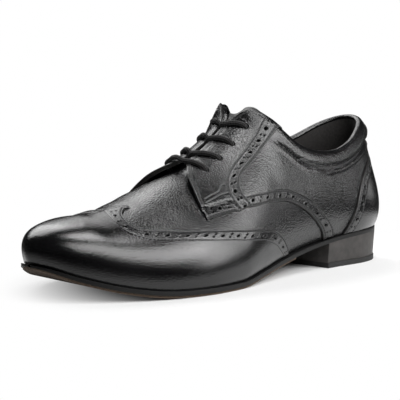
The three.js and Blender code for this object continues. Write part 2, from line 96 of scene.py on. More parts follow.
bpy.ops.mesh.primitive_plane_add(size=6, location=(0, 0, 0))
floor = bpy.context.object
floor.name = "studio_floor"
sweep, tree, paper = new_material("studio_white")
sweep_place = add_node(tree, "ShaderNodeTexCoord", {}, "Object")
sweep_stretch = add_node(tree, "ShaderNodeMapping", {
    "Vector": sweep_place, "Location": (-0.035, 0.03, 0), "Scale": (0.7, 1, 1)})
sweep_reach = add_node(tree, "ShaderNodeVectorMath", {0: sweep_stretch}, "Value", operation="LENGTH")
toward_camera = (-0.743, -0.669, 0)
sweep_ahead = add_node(tree, "ShaderNodeVectorMath", {0: sweep_place, 1: toward_camera}, "Value",
                       operation="DOT_PRODUCT")
# Painted reflection and painted shadow: for glossy rays the sweep's tone fades dark away from the shoe and
# ahead of the toe.
painted_reflection_near, painted_shadow_ahead, whitened = [
    map_range(tree, *fade, interpolation_type="SMOOTHSTEP") for fade in (
        # measure in metres, where the fade starts and ends, its values there
        (sweep_reach, 0.11, 0.22, 0.7, 0.03),
        (sweep_ahead, 0.115, 0.165, 1, 0.03),
        (sweep_reach, 0.09, 0.15, 0, 1),
    )]
painted_reflection_fades = add_node(tree, "ShaderNodeMath", {0: painted_reflection_near, 1: painted_shadow_ahead}, operation="MULTIPLY")
sweep_ray = tree.nodes.new("ShaderNodeLightPath").outputs
painted_reflection_tone = add_node(tree, "ShaderNodeMix", {0: sweep_ray["Is Glossy Ray"], 2: 0.7, 3: painted_reflection_fades})
set_inputs(tree, paper, {"Base Color": painted_reflection_tone, "Roughness": 0.95, "Specular IOR Level": 0})
# Painted light: camera rays see the sweep glow white from a short way out, over the shadow near the toe.
seen_beyond = add_node(tree, "ShaderNodeMath", {
    0: sweep_ray["Is Camera Ray"], 1: whitened}, operation="MULTIPLY")
beyond = add_node(tree, "ShaderNodeEmission", {"Color": white})
sweep_mix = add_node(tree, "ShaderNodeMixShader", {
    "Fac": seen_beyond, 1: paper.outputs["BSDF"], 2: beyond})
set_inputs(tree, tree.nodes["Material Output"], {"Surface": sweep_mix})
floor.data.materials.append(sweep)

softboxes = [
    # name, azimuth and elevation in degrees, distance, width, height in metres, watts
    ("outer_box", -90, 39, 1.4, 1.75, 0.68, 22),
    ("heel_side_box", -49, 22, 0.8, 0.37, 0.42, 2.4),
    ("back_box", 82, 46, 1.4, 1.0, 1.0, 12),
    ("back_fill_box", 45, 42, 1.4, 0.6, 1.0, 2.5),
    ("top_box", -75, 75, 1.4, 0.62, 0.62, 10),
    ("heel_box", -12, 5, 1.3, 0.3, 0.2, 0.25),
]
box_aim = Vector((0, 0, 0.04))
for name, azimuth, elevation, distance, width, height, watts in softboxes:
    turn, tilt = math.radians(azimuth), math.radians(elevation)
    place = box_aim + distance * Vector((
        math.cos(turn) * math.cos(tilt), math.sin(turn) * math.cos(tilt), math.sin(tilt)))
    bpy.ops.object.light_add(type="AREA", location=place)
    softbox = bpy.context.object
    softbox.name = name
    softbox.data.shape = "RECTANGLE"
    softbox.data.size = width
    softbox.data.size_y = height
    softbox.data.energy = watts
    softbox.rotation_euler = (box_aim - place).to_track_quat("-Z", "Y").to_euler()

room = bpy.data.worlds.new("studio_room")
bpy.context.scene.world = room
room.use_nodes = True
tree = room.node_tree
room_light = tree.nodes["Background"]
set_inputs(tree, room_light, {"Color": white, "Strength": 0.025})
room_seen = add_node(tree, "ShaderNodeBackground", {"Color": white, "Strength": 1.0})
room_ray = add_node(tree, "ShaderNodeLightPath", {}, "Is Camera Ray")
room_mix = add_node(tree, "ShaderNodeMixShader", {
    "Fac": room_ray, 1: room_light.outputs["Background"], 2: room_seen})
set_inputs(tree, tree.nodes["World Output"], {"Surface": room_mix})
bpy.context.scene.view_settings.view_transform = "Standard"


# Upper: the vamp and its lining, one shell of 2.2 mm lasted over a wooden form and open at the
# collar, down the throat and underneath. Grained black calf outside, dark cloth lining inside.
last_length = 276.0
ball_width = 92.0
seat_rise = 17.5
toe_spring = 15.5
back_height = 66.5
instep_height = 80.0
toe_box_height = 36.0
sole_stack = 3.8

# Cross sections from the back of the heel to the toe tip, as shares: first each one's foot on
# the sole line, then its top on the collar or the ridge. x and top x are of the length; outer,
# inner, bulge and crown of the ball width; shoulder and drop of the section's own height.
last_feet = [
    # x, outer, inner, seat, spring, inner spring, bulge, shoulder
    (0.018, 0.000, 0.000, 1.000, 0.000, 0.000, 0.120, 0.27),
    (0.029, 0.141, 0.141, 0.990, 0.000, 0.000, 0.114, 0.28),
    (0.065, 0.255, 0.255, 0.970, 0.000, 0.000, 0.098, 0.27),
    (0.127, 0.315, 0.304, 0.935, 0.000, 0.000, 0.087, 0.30),
    (0.225, 0.321, 0.293, 0.830, 0.000, 0.000, 0.087, 0.31),
    (0.326, 0.331, 0.266, 0.635, 0.000, 0.000, 0.098, 0.31),
    (0.428, 0.375, 0.272, 0.395, 0.000, 0.000, 0.109, 0.24),
    (0.514, 0.435, 0.326, 0.180, 0.000, 0.000, 0.120, 0.28),
    (0.601, 0.494, 0.408, 0.000, 0.000, 0.000, 0.098, 0.32),
    (0.696, 0.516, 0.478, 0.000, 0.000, 0.020, 0.065, 0.38),
    (0.797, 0.467, 0.484, 0.000, 0.050, 0.140, 0.043, 0.47),
    (0.880, 0.359, 0.408, 0.000, 0.265, 0.400, 0.043, 0.55),
    (0.949, 0.212, 0.261, 0.000, 0.620, 0.790, 0.054, 0.62),
    (0.986, 0.087, 0.130, 0.000, 0.900, 0.960, 0.065, 0.70),
    (1.000, -0.033, 0.033, 0.000, 1.000, 1.000, 0.065, 0.72),
]
last_tops = [
    # top x, top outer, top inner, back, instep, toe, inner up, crown, drop
    (0.038, 0.000, 0.000, 1.000, 0.000, 0.000, 0.000, 0.011, 0.42),
    (0.051, 0.109, 0.109, 0.980, 0.000, 0.000, 0.000, 0.016, 0.42),
    (0.089, 0.196, 0.196, 0.918, 0.000, 0.000, 0.000, 0.022, 0.39),
    (0.152, 0.261, 0.261, 0.808, 0.000, 0.000, 0.005, 0.038, 0.37),
    (0.232, 0.288, 0.288, 0.767, 0.000, 0.000, 0.006, 0.054, 0.39),
    (0.326, 0.266, 0.261, 0.450, 0.360, 0.000, 0.019, 0.087, 0.31),
    (0.431, 0.141, 0.136, 0.000, 1.045, 0.000, 0.035, 0.152, 0.17),
    (0.489, 0.011, -0.011, 0.000, 0.971, 0.000, 0.000, 0.239, 0.00),
    (0.590, 0.011, -0.011, 0.000, 0.771, 0.000, 0.000, 0.272, 0.00),
    (0.688, 0.011, -0.011, 0.000, 0.450, 0.458, 0.000, 0.293, 0.00),
    (0.786, 0.011, -0.011, 0.000, 0.150, 0.839, 0.000, 0.283, 0.00),
    (0.851, 0.000, 0.000, 0.000, 0.000, 0.967, 0.000, 0.261, 0.00),
    (0.886, -0.016, 0.016, 0.000, 0.000, 0.803, 0.000, 0.239, 0.00),
    (0.900, -0.027, 0.027, 0.000, 0.000, 0.669, 0.000, 0.217, 0.00),
    (0.906, -0.033, 0.033, 0.000, 0.000, 0.619, 0.000, 0.207, 0.00),
]
toe_station = len(last_feet) - 1
lap = 2 * toe_station
ridge_station = 8
toe_ridge_slope = -0.15

last_ribs = []
for station in range(lap):
    row = min(station, lap - station)
    x, outer, inner, seat, spring, inner_spring, bulge, shoulder = last_feet[row]
    top_x, top_outer, top_inner, back, instep, toe, inner_up, crown, drop = last_tops[row]
    on_outer = station <= toe_station
    foot_z = sole_stack + seat_rise * seat + toe_spring * spring
    rib_height = back_height * back + instep_height * instep + toe_box_height * toe
    last_ribs.append((
        x * last_length,
        (outer if on_outer else -inner) * ball_width,
        sole_stack + seat_rise * seat + toe_spring * (spring if on_outer else inner_spring),
        top_x * last_length,
        (top_outer if on_outer else -top_inner) * ball_width,
        foot_z + rib_height + (0 if on_outer else inner_up * instep_height),
        bulge * ball_width,
        shoulder * rib_height,
        crown * ball_width,
        drop * rib_height,
    ))
last_ribs = np.array(last_ribs)


def folded(station):
    turned = np.asarray(station, float) % lap
    return np.minimum(turned, lap - turned)


def ramp(value, low, high):
    share = np.clip((np.asarray(value, float) - low) / (high - low), 0, 1)
    return share * share * (3 - 2 * share)


def rib_at(station):
    station = np.asarray(station, float) % lap
    index = np.floor(station).astype(int)
    t = (station - index)[..., None]
    p, q, r, s = (last_ribs[(index + step) % lap] for step in (-1, 0, 1, 2))
    bend = 2 * p - 5 * q + 4 * r - s
    twist = 3 * q - 3 * r + s - p
    value = 0.5 * (2 * q + (r - p) * t + bend * t**2 + twist * t**3)
    slope = 0.5 * ((r - p) + 2 * bend * t + 3 * twist * t**2)
    return value, slope


def foot_normal(slope):
    out = np.stack([-slope[..., 1], slope[..., 0], np.zeros(slope.shape[:-1])], -1)
    return out / np.linalg.norm(out, axis=-1, keepdims=True)


def ridge_slope(station, slope):
    place = folded(station)
    flat = np.abs(slope[..., 3]) < 1e-6
    run = np.where(flat, toe_ridge_slope, slope[..., 5] / np.where(flat, 1, slope[..., 3]))
    run = run + (toe_ridge_slope - run) * ramp(place, 11, 12.5)
    return run * np.clip((place - 6.2) / 0.8, 0, 1)


def last_face(station, level):
    """A point of the last in its own millimetres: level 0 is the sole line, 1 the collar or ridge."""
    station, level = np.broadcast_arrays(np.asarray(station, float), np.asarray(level, float))
    value, slope = rib_at(station)
    out = foot_normal(slope)
    foot = value[..., 0:3].copy()
    foot[..., 2] = np.maximum(foot[..., 2], sole_stack)
    top = value[..., 3:6]
    bulge, shoulder, crown, drop = (value[..., k] for k in (6, 7, 8, 9))
    low = foot + out * bulge[..., None]
    low[..., 2] += shoulder
    high = top + out * crown[..., None]
    high[..., 2] += ridge_slope(station, slope) * crown * out[..., 0] - drop
    t = level[..., None]
    return (1 - t)**3 * foot + 3 * (1 - t)**2 * t * low + 3 * (1 - t) * t**2 * high + t**3 * top


def last_normal(station, level):
    station, level = np.broadcast_arrays(np.asarray(station, float), np.asarray(level, float))
    step = 1e-3
    along = last_face(station + step, level) - last_face(station - step, level)
    up = last_face(station, np.minimum(1, level + step)) - last_face(station, np.maximum(0, level - step))
    normal = np.cross(up, along)
    normal /= np.linalg.norm(normal, axis=-1, keepdims=True)
    slope = rib_at(station)[1]
    flatness = np.clip(level / 0.12, 0, 1)[..., None]
    normal = foot_normal(slope) * (1 - flatness) + normal * flatness
    ridge = np.stack([-ridge_slope(station, slope), np.zeros(station.shape), np.ones(station.shape)], -1)
    on_ridge = ((level >= 1) & (folded(station) >= ridge_station))[..., None]
    normal = np.where(on_ridge, ridge, normal)
    return normal / np.linalg.norm(normal, axis=-1, keepdims=True)


def above(station, level, height):
    """A point at a height over the last, in its own millimetres. Both sides share the ridge."""
    station, level, height = np.broadcast_arrays(
        np.asarray(station, float), np.asarray(level, float), np.asarray(height, float))
    on_ridge = (level >= 1) & (folded(station) >= ridge_station)
    station = np.where(on_ridge, folded(station), station)
    return last_face(station, level) + last_normal(station, level) * height[..., None]


def in_shoe(points):
    """From the last's millimetres to the shoe's own metres, toe along -X and outer side at -Y."""
    points = np.asarray(points, float)
    return np.stack([138.323 - points[..., 0], 1.190 - points[..., 1], points[..., 2]], -1) / 1000


def stations_by_length(low, high, step, level=0.4):
    fine = np.linspace(low, high, 600)
    chords = np.linalg.norm(np.diff(last_face(fine, level), axis=0), axis=1)
    length = np.concatenate([[0], np.cumsum(chords)])
    count = max(3, int(round(length[-1] / step)) + 1)
    return np.interp(np.linspace(0, length[-1], count), length, fine)


def lay_grid(name, points):
    """Lays a grid, rows along the shoe and columns up its side, on points in the last's millimetres."""
    rows, columns = points.shape[:2]
    bpy.ops.object.select_all(action="DESELECT")
    bpy.ops.mesh.primitive_grid_add(x_subdivisions=columns - 1, y_subdivisions=rows - 1, size=1)
    piece = bpy.context.object
    piece.name = name
    piece.data.name = name
    piece.data.vertices.foreach_set("co", in_shoe(points).reshape(-1))
    piece.data.update()
    return piece


def pick(*pieces):
    """Selects pieces alone and makes the first one active."""
    bpy.ops.object.select_all(action="DESELECT")
    for piece in pieces:
        piece.select_set(True)
    bpy.context.view_layer.objects.active = pieces[0]


def weld(piece, outward=False):
    pick(piece)
    bpy.ops.object.mode_set(mode="EDIT")
    bpy.ops.mesh.select_all(action="SELECT")
    bpy.ops.mesh.remove_doubles(threshold=1e-6)
    if outward:
        bpy.ops.mesh.normals_make_consistent(inside=False)
    bpy.ops.object.mode_set(mode="OBJECT")


def use_modifier(piece, kind, **settings):
    bpy.context.view_layer.objects.active = piece
    modifier = piece.modifiers.new(kind.lower(), kind)
    for key, value in settings.items():
        setattr(modifier, key, value)
    bpy.ops.object.modifier_apply(modifier=modifier.name)


def ease_edges(piece, width, segments, angle=50):
    """Rounds the edges of a piece that turn by more than an angle."""
    use_modifier(piece, "BEVEL", width=width / 1000, segments=segments, limit_method="ANGLE",
                 angle_limit=math.radians(angle))


def give_wall(piece, thickness, lining=0):
    """Turns a sheet into leather of a thickness, inwards from its face, with its cut edges eased."""
    use_modifier(piece, "SOLIDIFY", thickness=thickness / 1000, offset=-1, use_quality_normals=True,
                 material_offset=lining)
    ease_edges(piece, 0.28, 2)


def smooth(piece, angle=40):
    pick(piece)
    bpy.ops.object.shade_smooth_by_angle(angle=math.radians(angle))


def tone_ramp(tree, value, low, low_colour, high, high_colour):
    """A colour that runs from one to another between two places of a value."""
    tone = add_node(tree, "ShaderNodeValToRGB", {"Fac": value})
    stops = tone.node.color_ramp.elements
    for stop, place, colour in ((stops[0], low, low_colour), (stops[1], high, high_colour)):
        stop.position = place
        stop.color = (*colour, 1)
    return tone


def scaled(colour, factor):
    return [factor * channel for channel in colour]


def give_relief(tree, surface, height, strength, distance):
    bump = add_node(tree, "ShaderNodeBump", {"Strength": strength, "Distance": distance, "Height": height})
    set_inputs(tree, surface, {"Normal": bump})


def leather_grain(crease_share=0.12):
    """A node group: fine pebbled grain with faint creases, as a height and as a tone."""
    group = bpy.data.node_groups.new("leather_grain", "ShaderNodeTree")
    for socket, way, kind in (("Place", "INPUT", "Vector"), ("Pebble Scale", "INPUT", "Float"),
                              ("Height", "OUTPUT", "Float"), ("Tone", "OUTPUT", "Float")):
        group.interface.new_socket(socket, in_out=way, socket_type=f"NodeSocket{kind}")
    given = group.nodes.new("NodeGroupInput").outputs
    cells = add_node(group, "ShaderNodeTexVoronoi", {
        "Vector": given["Place"], "Scale": given["Pebble Scale"], "Smoothness": 0.4}, feature="SMOOTH_F1")
    creases = add_node(group, "ShaderNodeTexNoise", {
        "Vector": given["Place"], "Scale": 160, "Detail": 5, "Distortion": 0.6})
    height = add_node(group, "ShaderNodeMix", {0: crease_share, 2: cells, 3: creases})
    tone = add_node(group, "ShaderNodeTexNoise", {"Vector": given["Place"], "Scale": 38, "Detail": 3})
    set_inputs(group, group.nodes.new("NodeGroupOutput"), {"Height": height, "Tone": tone})
    return group


grain_group = leather_grain()


def black_leather(name, colour, roughness, grain, pebble, gloss):
    """Black dressed leather. The attributes for the cut edge, the thread and the holes paint marks on
    a piece that has them: the cut edge is lighter, partly its own grey and partly a painted
    highlight; the stitches are lighter, black thread with a painted highlight; the hole floors and
    stitch grooves turn near black and lose their shine, as painted shade."""
    material, tree, surface = new_material(name)
    place = add_node(tree, "ShaderNodeTexCoord", {}, "Object")
    height = add_node(tree, "ShaderNodeGroup", {"Place": place, "Pebble Scale": pebble}, "Height",
                      node_tree=grain_group)
    tone = height.node.outputs["Tone"]
    last_colour = tone_ramp(tree, tone, 0.3, scaled(colour, 0.75), 0.75, scaled(colour, 1.35))
    last_finish = map_range(tree, tone, 0.3, 0.7, roughness - 0.015, roughness + 0.02)
    # Painted marks: the lighter cut edge and stitches are partly painted highlight, and the near-black
    # hole floors and grooves are painted shade.
    marks = [
        # attribute, its colour, its roughness
        ("edge", (0.02, 0.019, 0.018), 0.5),
        ("thread_and_highlight", (0.035, 0.035, 0.036), 0.5),
        ("painted_shade", (0.0006, 0.0006, 0.0006), 0.9),
    ]
    for mark, mark_colour, mark_roughness in marks:
        painted = add_node(tree, "ShaderNodeAttribute", {}, "Fac", attribute_name=mark)
        last_colour = add_node(tree, "ShaderNodeMix", {
            0: painted, 6: last_colour, 7: (*mark_colour, 1)}, 2, data_type="RGBA")
        last_finish = add_node(tree, "ShaderNodeMix", {0: painted, 2: last_finish, 3: mark_roughness})
    # The painted shade also takes away specular and coat in the holes and grooves.
    set_inputs(tree, surface, {
        "Base Color": last_colour,
        "Roughness": last_finish,
        "Specular IOR Level": map_range(tree, painted, 0, 1, 0.5, 0),
        "Coat Weight": map_range(tree, painted, 0, 1, gloss, 0),
        "Coat Roughness": 0.16,
    })
    give_relief(tree, surface, height, grain, 0.0003)
    return material


def plain_finish(name, colour, roughness, scale, depth, contrast=0.25, shine=0.5):
    """A dull material with a noise in its tone and its height: lining, board, rubber or stack."""
    material, tree, surface = new_material(name)
    place = add_node(tree, "ShaderNodeTexCoord", {}, "Object")
    speckle = add_node(tree, "ShaderNodeTexNoise", {"Vector": place, "Scale": scale, "Detail": 4})
    tone = tone_ramp(tree, speckle, 0.35, scaled(colour, 1 - contrast), 0.7, scaled(colour, 1 + contrast))
    set_inputs(tree, surface, {"Base Color": tone, "Roughness": roughness, "Specular IOR Level": shine})
    give_relief(tree, surface, speckle, 0.5, depth)
    return material


calf = black_leather("smooth_black_calf", (0.002, 0.002, 0.0022), 0.19, 0.35, 1200, 0.25)
grained_calf = black_leather("grained_black_calf", (0.003, 0.003, 0.0032), 0.22, 0.85, 1000, 0.2)
lining = plain_finish("dark_cloth_lining", (0.022, 0.02, 0.019), 0.85, 900, 0.0002)

shell_wall = 2.2
shell_face = -1.15
sheet_step = 2.0
throat_half = 6.0
throat_start = 6.5
throat_end = 7.1

eyelets = [(6.68, 0.844), (7.30, 0.800), (7.70, 0.800), (8.10, 0.806)]
eyelet_radius = 2.0


def level_short_of_ridge(station, distance):
    return 1 - distance / (3 * rib_at(station)[0][..., 8])


def throat_top(station, half_width):
    """The top of a sheet: the collar, and from the throat on a distance short of the ridge."""
    short = level_short_of_ridge(station, half_width) - 1
    return 1 + short * ramp(folded(station), throat_start, throat_end)


def other_side(station):
    return lap - np.asarray(station, float)


def round_heel(half):
    """Stations from the inner side round the heel, for those of the outer side from 0 on."""
    return np.concatenate([other_side(half[:0:-1]), half])


def on_side(station, side):
    """A station of the outer side, side 1, or its twin on the inner side, side -1."""
    return station if side > 0 else other_side(station)


def punch_eyelets(piece, sides):
    for side in sides:
        for station, level in eyelets:
            here = on_side(station, side)
            out = last_normal(here, level) * (-1, -1, 1)
            bpy.ops.mesh.primitive_cylinder_add(
                vertices=20, radius=eyelet_radius / 1000, depth=0.02,
                location=in_shoe(above(here, level, 0)),
                rotation=Vector(out).to_track_quat("Z", "Y").to_euler())
            drill = bpy.context.object
            use_modifier(piece, "BOOLEAN", operation="DIFFERENCE", object=drill, solver="EXACT")
            bpy.data.objects.remove(drill)


flex_creases = [
    # station and level at one end, then at the other, depth in millimetres
    (8.95, 0.60, 9.15, 0.86, 0.16),
    (9.45, 0.62, 9.62, 0.93, 0.14),
    (9.95, 0.66, 10.05, 0.84, 0.10),
]
crease_width = 2.4
station_run = 20.0
level_run = 110.0


def creased(station, level):
    """Soft flex creases across the vamp: a trough with a low ridge on its toe side."""
    place = folded(station)
    relief = 0 * place * level
    for low_station, low_level, high_station, high_level, depth in flex_creases:
        share = np.clip((level - low_level) / (high_level - low_level), 0, 1)
        beyond_end = level_run * np.abs(level - low_level - share * (high_level - low_level))
        offset = station_run * (place - low_station - share * (high_station - low_station))
        fade = np.exp(-(beyond_end / (2 * crease_width))**2)
        ridge = 0.6 * np.exp(-((offset - 2 * crease_width) / crease_width)**2)
        trough = np.exp(-(offset / crease_width)**2)
        relief = relief + depth * fade * (ridge - trough)
    return relief


shell_half = stations_by_length(0, toe_station, sheet_step)
shell_stations = np.concatenate([shell_half, other_side(shell_half[-2::-1])])
shell_open = folded(shell_stations) < ridge_station
shell_top = np.where(shell_open, throat_top(shell_stations, throat_half), 1.0)
shell_levels = np.linspace(0, 1, 44)[None, :] * shell_top[:, None]
shell_height = shell_face + creased(shell_stations[:, None], shell_levels)
shell_grid = above(shell_stations[:, None], shell_levels, shell_height)
upper = lay_grid("upper_shell", shell_grid)
weld(upper)
upper.data.materials.append(grained_calf)
upper.data.materials.append(lining)
give_wall(upper, shell_wall, lining=1)
punch_eyelets(upper, (1, -1))
smooth(upper)
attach(upper, "root")
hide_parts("upper")


# Wing cap: one piece of calf over the toe, peaked on the instep and drawn back in a wing along
# each side. Its edge carries a row of punched holes between two rows of stitches.
wing_edge = [
    (5.72, 0), (5.78, 0.019), (5.95, 0.100), (6.23, 0.181), (6.60, 0.231), (7.10, 0.262),
    (7.60, 0.319), (8.05, 0.372), (8.62, 0.413), (9.08, 0.450), (9.47, 0.494), (9.73, 0.537),
    (10.03, 0.575), (10.23, 0.606), (10.33, 0.663), (10.34, 0.744),
]
wing_stitch = [
    (5.93, 0), (6.12, 0.056), (6.48, 0.131), (7.05, 0.200), (7.53, 0.250), (8.12, 0.312),
    (8.83, 0.356), (9.38, 0.406), (9.85, 0.456), (10.23, 0.500), (10.43, 0.556), (10.58, 0.631),
    (10.64, 0.744),
]
# The point of the peak stands just to the outer side of the ridge.
peak_edges = {
    1: [(10.31, 0.800), (10.23, 0.850), (10.08, 0.895), (9.92, 0.930)],
    -1: [(10.36, 0.820), (10.44, 0.900), (10.50, 1)],
}
peak_stitches = {
    1: [(10.64, 0.830), (10.62, 0.915), (10.60, 0.955), (10.60, 1)],
    -1: [(10.70, 0.830), (10.78, 0.915), (10.80, 1)],
}
point_edge = [(9.92, 0.932), (10.12, 0.952), (10.32, 0.978), (10.50, 1)]
cover_wall = 1.2
band_step = 0.3
band_hem = 1.2
sheet_hem = 0.6
stitch_length = 2.1
hole_pitch = 12.0
large_hole = 1.05
small_hole = 0.55
small_hole_offset = 1.15
hole_depth = 0.8
hole_rim = 0.09
first_row = 1.1
groove_run = 0.5
band_rise = 0.16
band_sink = 0.12
hem_sink = 0.5
eased_run = 0.5
end_drop = 0.4
end_run = 1.2


def smooth_values(places, values, at):
    """A smooth curve through rows of values at rising places."""
    places = np.asarray(places, float)
    values = np.asarray(values, float)
    gaps = np.diff(places)[:, None]
    slopes = np.diff(values, axis=0) / gaps
    tangents = np.concatenate([slopes[:1], slopes])
    tangents[1:-1] = (gaps[1:] * slopes[:-1] + gaps[:-1] * slopes[1:]) / (gaps[:-1] + gaps[1:])
    index = np.clip(np.searchsorted(places, at, side="right") - 1, 0, len(gaps) - 1)
    gap = gaps[index]
    t = (at - places[index])[:, None] / gap
    return ((2 * t**3 - 3 * t**2 + 1) * values[index] + (t**3 - 2 * t**2 + t) * gap * tangents[index]
            + (3 * t**2 - 2 * t**3) * values[index + 1] + (t**3 - t**2) * gap * tangents[index + 1])


def smooth_line(spots, count):
    """A smooth line through (station, level) spots, evenly spaced over the last, and its length."""
    spots = np.array(spots, float)
    chords = np.linalg.norm(np.diff(last_face(spots[:, 0], spots[:, 1]), axis=0), axis=1)
    places = np.concatenate([[0], np.cumsum(chords)])
    fine = smooth_values(places, spots, np.linspace(0, places[-1], 500))
    fine[:, 1] = np.clip(fine[:, 1], 0, 1)
    steps = np.linalg.norm(np.diff(last_face(fine[:, 0], fine[:, 1]), axis=0), axis=1)
    length = np.concatenate([[0], np.cumsum(steps)])
    even = np.linspace(0, length[-1], count)
    line = np.stack([np.interp(even, length, fine[:, k]) for k in (0, 1)], -1)
    return line, length[-1]


def mark_points(piece, name, values):
    attribute = piece.data.attributes.new(name, "FLOAT", "POINT")
    attribute.data.foreach_set("value", np.clip(values, 0, 1).astype(np.float32).reshape(-1))


def with_ends(rings):
    """Closed rings of points, with each end drawn together at the middle of its ring."""
    first, last = [np.repeat(rings[k][None, :-1].mean(1, keepdims=True), rings.shape[1], 1)
                   for k in (0, -1)]
    return np.concatenate([first, rings, last])


def nothing(station, level):
    return 0 * level


def stitched_band(name, edge, inner, side, height, holes=True, rows=(first_row, None), lift=nothing,
                  wall=cover_wall, pitch=hole_pitch, eased=0.34, sunk=0.5, dark=1.0):
    """A strip of leather along a cut edge, with grooves for its stitches and punched holes.
    Edge and inner are (station, level) lines; rows are the stitch rows' distances from the edge,
    None for one along the inner line. The dark argument scales the painted shade in the stitch
    grooves."""
    length = smooth_line(edge, 3)[1]
    count = int(length / band_step)
    edge_line, inner_line = smooth_line(edge, count)[0], smooth_line(inner, count)[0]
    edge_points = last_face(edge_line[:, 0], edge_line[:, 1])
    inner_points = last_face(inner_line[:, 0], inner_line[:, 1])
    width = np.median(np.linalg.norm(edge_points - inner_points, axis=1))
    rows = [width if row is None else row for row in rows]
    across = np.linspace(0, width + band_hem, int((width + band_hem) / band_step) + 1)
    along = np.linspace(0, length, count)
    share = (across / width)[None, :, None]
    spots = edge_line[:, None] * (1 - share) + inner_line[:, None] * share
    x = np.broadcast_to(across[None, :], spots.shape[:2])
    s = np.broadcast_to(along[:, None], spots.shape[:2])

    relief = band_rise - eased * np.clip(1 - x / eased_run, 0, 1)**2
    relief = relief - band_sink * ramp(x, width + 0.2, width + 0.5)
    relief = relief - hem_sink * ramp(x, width + 0.75, width + band_hem)
    relief = relief - end_drop * (2 - ramp(s, 0, end_run) - ramp(length - s, 0, end_run))
    # Stitch marks: black thread, lightened as a painted highlight.
    thread_and_highlight = np.zeros_like(x)
    # Painted shade: near black in the stitch grooves between stitches and on the holes' floors.
    painted_shade = np.zeros_like(x)
    stitch = np.abs(np.sin(math.pi * s / stitch_length))**0.6
    for row in rows:
        groove = np.exp(-((x - row) / groove_run)**2)
        relief = relief - sunk * groove * (1 - 0.68 * stitch)
        thread_and_highlight = np.maximum(thread_and_highlight, groove * stitch)
        painted_shade = np.maximum(painted_shade, dark * groove * (1 - 0.6 * stitch))
    if holes:
        run_length = length / max(1, round(length / pitch))
        middle = (first_row + width) / 2
        phase = (s / run_length) % 1
        for offset, shift, radius in [(0, 0, large_hole), (small_hole_offset, 0.5, small_hole),
                                      (-small_hole_offset, 0.5, small_hole)]:
            run = ((phase - shift + 0.5) % 1 - 0.5) * run_length
            distance = np.hypot(run, x - middle - offset)
            cup = 1 - ramp(distance, radius * 0.75, radius * 1.2)
            # Painted shade on the hole's floor.
            painted_shade = np.maximum(painted_shade, cup)
            rim = np.exp(-((distance - radius * 1.5) / 0.3)**2)
            relief = relief + hole_rim * rim - hole_depth * cup

    station = on_side(spots[..., 0], side)
    level = np.clip(spots[..., 1], 0, 1)
    extra = height + lift(station, level)
    top = above(station, level, extra + relief)
    bottom = above(station, level, extra - wall + 0.06)
    band = lay_grid(name, with_ends(np.concatenate([top, bottom[:, [-1, 0]], top[:, :1]], 1)))

    def around(values, rest):
        values = np.concatenate([values, np.full((len(values), 2), rest), values[:, :1]], 1)
        return np.concatenate([values[:1], values, values[-1:]], 0)

    mark_points(band, "painted_shade", around(painted_shade, 0))
    mark_points(band, "thread_and_highlight", around(thread_and_highlight, 0))
    # Cut edge and underside: lighter, partly the edge's own grey and partly a painted highlight.
    mark_points(band, "edge", around(0.8 * np.clip(1 - x / 0.3, 0, 1), 0.6))
    weld(band, outward=True)
    return band


def beside(line, distance, toward):
    """A line that runs at a distance from another over the last, on the side of a spot."""
    fine = smooth_line(line, 60)[0]
    place = last_face(fine[:, 0], fine[:, 1])
    forward = np.gradient(place, axis=0)
    forward /= np.linalg.norm(forward, axis=1, keepdims=True)
    sideways = np.cross(last_normal(fine[:, 0], fine[:, 1]), forward) * distance
    middle = len(fine) // 2
    if np.dot(sideways[middle], last_face(*toward) - place[middle]) < 0:
        sideways = -sideways
    step = 1e-3
    by_station = (last_face(fine[:, 0] + step, fine[:, 1]) - place) / step
    by_level = (place - last_face(fine[:, 0], fine[:, 1] - step)) / step
    shifted = []
    for k in range(len(fine)):
        move = np.linalg.lstsq(np.stack([by_station[k], by_level[k]], 1), sideways[k], rcond=None)[0]
        shifted.append(fine[k] + move)
    return np.array(shifted)


def read_line(line, column, at):
    """The other coordinate of a (station, level) line where its given column has a value."""
    order = np.argsort(line[:, column])
    return np.interp(at, line[order, column], line[order, 1 - column])


def join(pieces, name):
    pick(*pieces)
    bpy.ops.object.join()
    pieces[0].name = name
    pieces[0].data.name = name
    return pieces[0]


wing_split = 0.5
toe_shares = np.linspace(0, 1, 34)
wing_hems = {side: beside(wing_stitch + peak_stitches[side], sheet_hem, (12, 0.4)) for side in (1, -1)}


def hem_station(side, level):
    hem = wing_hems[side]
    return read_line(hem[hem[:, 1] >= wing_split - 0.02], 1, level)


def toe_sheet(name, rows_on):
    """A sheet round the toe, from the rows of the outer side and then those of the inner side."""
    return lay_grid(name, np.concatenate([rows_on(1), rows_on(-1)[-2::-1]]))


def wing_rows(side):
    hem = wing_hems[side]
    low_hem = hem[hem[:, 1] <= wing_split + 0.02]
    split_station = float(hem_station(side, wing_split))
    places = np.concatenate([stations_by_length(low_hem[0, 0] + 0.02, split_station, 1.8)[:-1],
                             split_station + (toe_station - split_station) * toe_shares])
    tops = np.minimum(read_line(low_hem, 0, places), wing_split)
    tops = np.where(places < split_station, tops, wing_split)
    levels = np.linspace(0, 1, 24)[None, :] * np.maximum(tops, 0.005)[:, None]
    return above(on_side(places, side)[:, None], levels, 0)


def peak_rows(side):
    levels = np.linspace(wing_split, 1, 24)
    starts = hem_station(side, levels)
    places = starts[None, :] + (toe_station - starts)[None, :] * toe_shares[:, None]
    return above(on_side(places, side), levels[None, :], 0)


